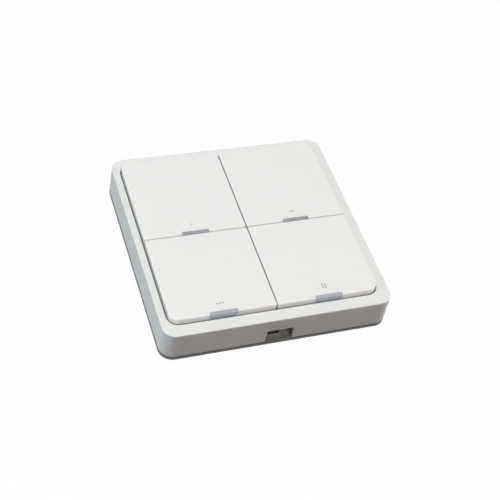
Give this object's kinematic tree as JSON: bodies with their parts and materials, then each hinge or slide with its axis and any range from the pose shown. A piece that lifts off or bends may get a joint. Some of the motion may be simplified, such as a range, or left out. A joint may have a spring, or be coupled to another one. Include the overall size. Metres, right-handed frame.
{
  "type": "light switch",
  "caption": "Square surface-mounted wireless light switch: push buttons in a raised two by two block inside a rounded frame, each with a small light window, on a wall plate.",
  "frame": {"origin": "centre of the wall plate's wall face", "axes": "+Z out of the wall towards the user, +Y up the wall, +X to the right; the release notch and the light windows face -Y"},
  "size_m": [0.08, 0.08, 0.0142],
  "materials": {
    "white_plastic": "fine satin",
    "inner_plastic": "plain moulded",
    "grey_plastic": "fine matt",
    "light_plastic": "translucent",
    "board": "solder resist",
    "steel": "plated",
    "cell_steel": "polished",
    "contact_metal": "plated spring strip",
    "shield": "tinned",
    "ceramic": "ceramic",
    "black_plastic": "moulded",
    "lamp": "clear lens"
  },
  "bodies": {
    "wall_plate": {"wall_plate": "grey_plastic"},
    "front": {"frame": "white_plastic", "carrier": "inner_plastic", "circuit_board": "board", "board_screws": "steel", "battery_holder": "black_plastic", "coin_cell": "cell_steel", "battery_contact_minus": "contact_metal", "battery_contact_plus": "contact_metal", "radio_module": "shield", "chip_antenna": "ceramic", "board_components": "black_plastic", "led_1": "lamp", "led_2": "lamp", "led_3": "lamp", "led_4": "lamp", "tact_switch_1": "black_plastic", "tact_switch_2": "black_plastic", "tact_switch_3": "black_plastic", "tact_switch_4": "black_plastic"},
    "button_1": {"button_1": "white_plastic", "light_window_1": "light_plastic"},
    "plunger_1": {"plunger_1": "inner_plastic"},
    "button_2": {"button_2": "white_plastic", "light_window_2": "light_plastic"},
    "plunger_2": {"plunger_2": "inner_plastic"},
    "button_3": {"button_3": "white_plastic", "light_window_3": "light_plastic"},
    "plunger_3": {"plunger_3": "inner_plastic"},
    "button_4": {"button_4": "white_plastic", "light_window_4": "light_plastic"},
    "plunger_4": {"plunger_4": "inner_plastic"}
  },
  "joints": [
    {"name": "front_swing", "type": "hinge", "parent": "wall_plate", "child": "front", "pos_m": [0, 0.0395, 0.0017], "axis": [-1, 0, 0], "range_deg": [0, 30]},
    {"name": "button_1_press", "type": "hinge", "parent": "front", "child": "button_1", "pos_m": [-0.01886, 0.03235, 0.0111], "axis": [1, 0, 0], "range_deg": [0, 0.7], "stiffness_Nm_per_rad": 0.3, "springref_deg": -1.72},
    {"name": "plunger_1_slide", "type": "slide", "parent": "front", "child": "plunger_1", "axis": [0, 0, -1], "range_m": [0, 0.0003]},
    {"name": "button_2_press", "type": "hinge", "parent": "front", "child": "button_2", "pos_m": [0.01756, 0.03235, 0.0111], "axis": [1, 0, 0], "range_deg": [0, 0.7], "stiffness_Nm_per_rad": 0.3, "springref_deg": -1.72},
    {"name": "plunger_2_slide", "type": "slide", "parent": "front", "child": "plunger_2", "axis": [0, 0, -1], "range_m": [0, 0.0003]},
    {"name": "button_3_press", "type": "hinge", "parent": "front", "child": "button_3", "pos_m": [-0.01886, -0.00445, 0.0111], "axis": [1, 0, 0], "range_deg": [0, 0.7], "stiffness_Nm_per_rad": 0.3, "springref_deg": -1.72},
    {"name": "plunger_3_slide", "type": "slide", "parent": "front", "child": "plunger_3", "axis": [0, 0, -1], "range_m": [0, 0.0003]},
    {"name": "button_4_press", "type": "hinge", "parent": "front", "child": "button_4", "pos_m": [0.01756, -0.00445, 0.0111], "axis": [1, 0, 0], "range_deg": [0, 0.7], "stiffness_Nm_per_rad": 0.3, "springref_deg": -1.72},
    {"name": "plunger_4_slide", "type": "slide", "parent": "front", "child": "plunger_4", "axis": [0, 0, -1], "range_m": [0, 0.0003]}
  ],
  "couplings": [
    {"joint": "plunger_1_slide", "follows": "button_1_press", "m_per_rad": 0.024},
    {"joint": "plunger_2_slide", "follows": "button_2_press", "m_per_rad": 0.024},
    {"joint": "plunger_3_slide", "follows": "button_3_press", "m_per_rad": 0.024},
    {"joint": "plunger_4_slide", "follows": "button_4_press", "m_per_rad": 0.024}
  ]
}
